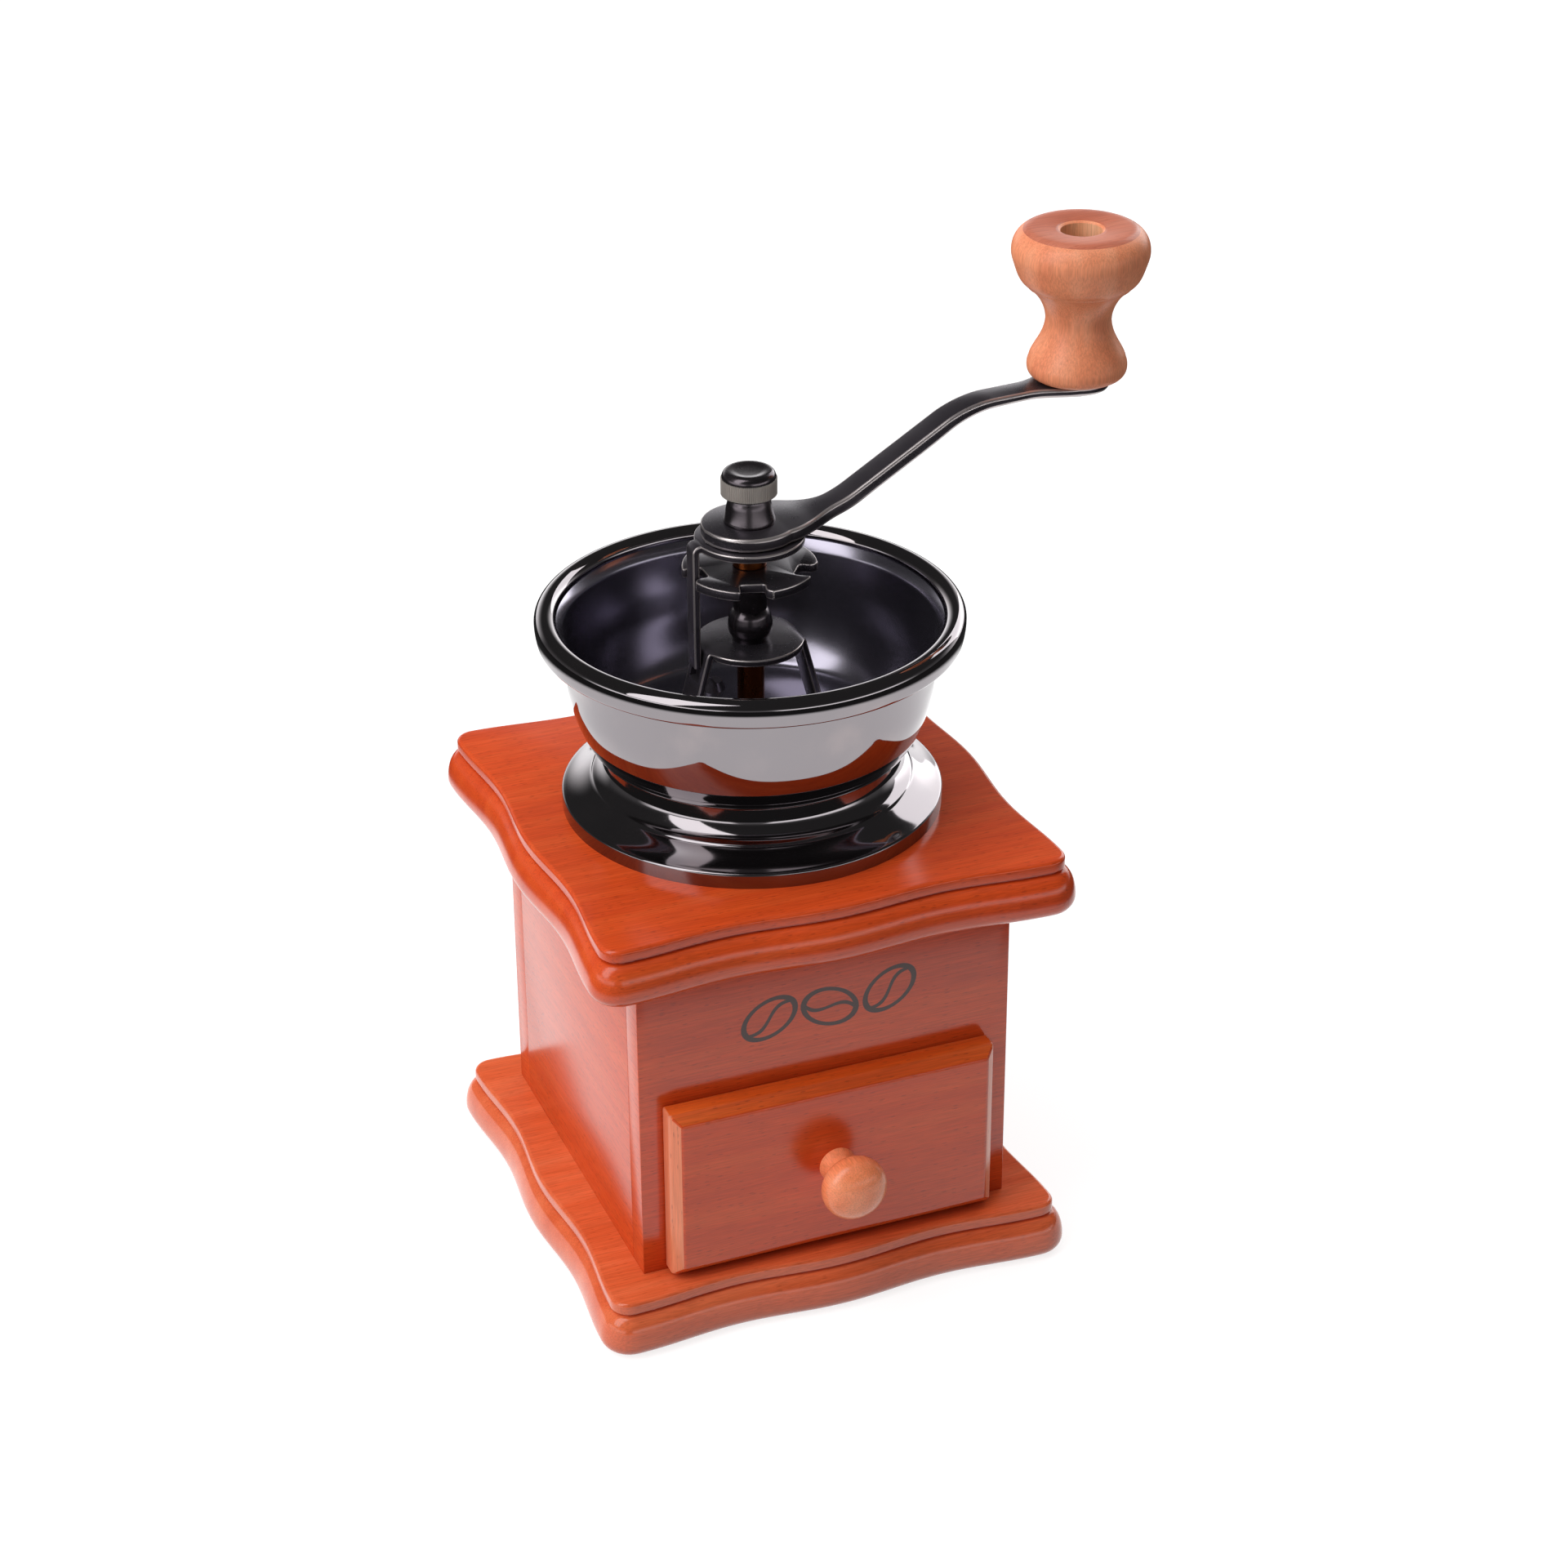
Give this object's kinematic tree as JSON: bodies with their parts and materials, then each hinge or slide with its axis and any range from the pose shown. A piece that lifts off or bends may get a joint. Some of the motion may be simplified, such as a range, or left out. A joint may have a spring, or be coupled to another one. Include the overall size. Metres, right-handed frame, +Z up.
{
  "type": "burr coffee grinder",
  "caption": "Hand-cranked burr coffee grinder: wooden box with a grounds drawer, metal bean hopper, conical burrs on a vertical shaft and a bent crank arm with a turned wooden knob.",
  "frame": {"origin": "centre of the base plate's underside", "axes": "+Z up along the drive shaft, the drawer opens towards -Y, the crank arm points towards +X at rest"},
  "size_m": [0.1772, 0.1412, 0.2608],
  "materials": {
    "case_wood": "orange-red stained beech under clear gloss varnish",
    "turned_wood": "lighter orange-brown stained beech, turned and varnished",
    "raw_wood": "plain unstained wood, sanded",
    "black_nickel": "black nickel plate, mirror bright",
    "steel": "zinc-plated steel",
    "burr_iron": "grey cast iron, machined",
    "bronze": "dull bronze"
  },
  "bodies": {
    "case": {"base_plate": "case_wood", "top_plate": "case_wood", "front_panel": "case_wood", "back_panel": "case_wood", "left_panel": "case_wood", "right_panel": "case_wood", "base_screws": "steel", "top_dowels": "raw_wood", "drawer_guides": "raw_wood", "hopper_skirt": "black_nickel", "hopper_bowl": "black_nickel", "hopper_bolts": "black_nickel", "hopper_washers": "steel", "hopper_nuts": "steel", "ring_burr": "burr_iron", "lower_guide": "steel", "guide_screws": "steel", "lower_bridge": "black_nickel", "bridge_sleeve": "black_nickel", "thrust_bush": "bronze", "locking_plate": "black_nickel"},
    "adjuster": {"adjusting_wheel": "black_nickel"},
    "crank": {"drive_shaft": "bronze", "cone_burr": "burr_iron", "burr_washer": "steel", "burr_nut": "steel", "crank_arm": "black_nickel", "cap_nut": "black_nickel", "knob_spindle": "steel"},
    "knob": {"crank_knob": "turned_wood"},
    "drawer": {"drawer_front": "case_wood", "drawer_left_side": "raw_wood", "drawer_right_side": "raw_wood", "drawer_back": "raw_wood", "drawer_bottom": "raw_wood", "drawer_knob": "turned_wood", "drawer_knob_screw": "steel"}
  },
  "joints": [
    {"name": "crank_spin", "type": "hinge", "parent": "case", "child": "crank", "pos_m": [0, 0, 0.1956], "axis": [0, 0, 1], "continuous": true},
    {"name": "knob_spin", "type": "hinge", "parent": "crank", "child": "knob", "pos_m": [0.09404, 0.00823, 0.22], "axis": [0, 0, 1], "continuous": true},
    {"name": "adjuster_play", "type": "hinge", "parent": "case", "child": "adjuster", "pos_m": [0, 0, 0.1847], "axis": [0, 0, 1], "range_deg": [-2, 2]},
    {"name": "drawer_slide", "type": "slide", "parent": "case", "child": "drawer", "axis": [0, -1, 0], "range_m": [0, 0.07]}
  ]
}
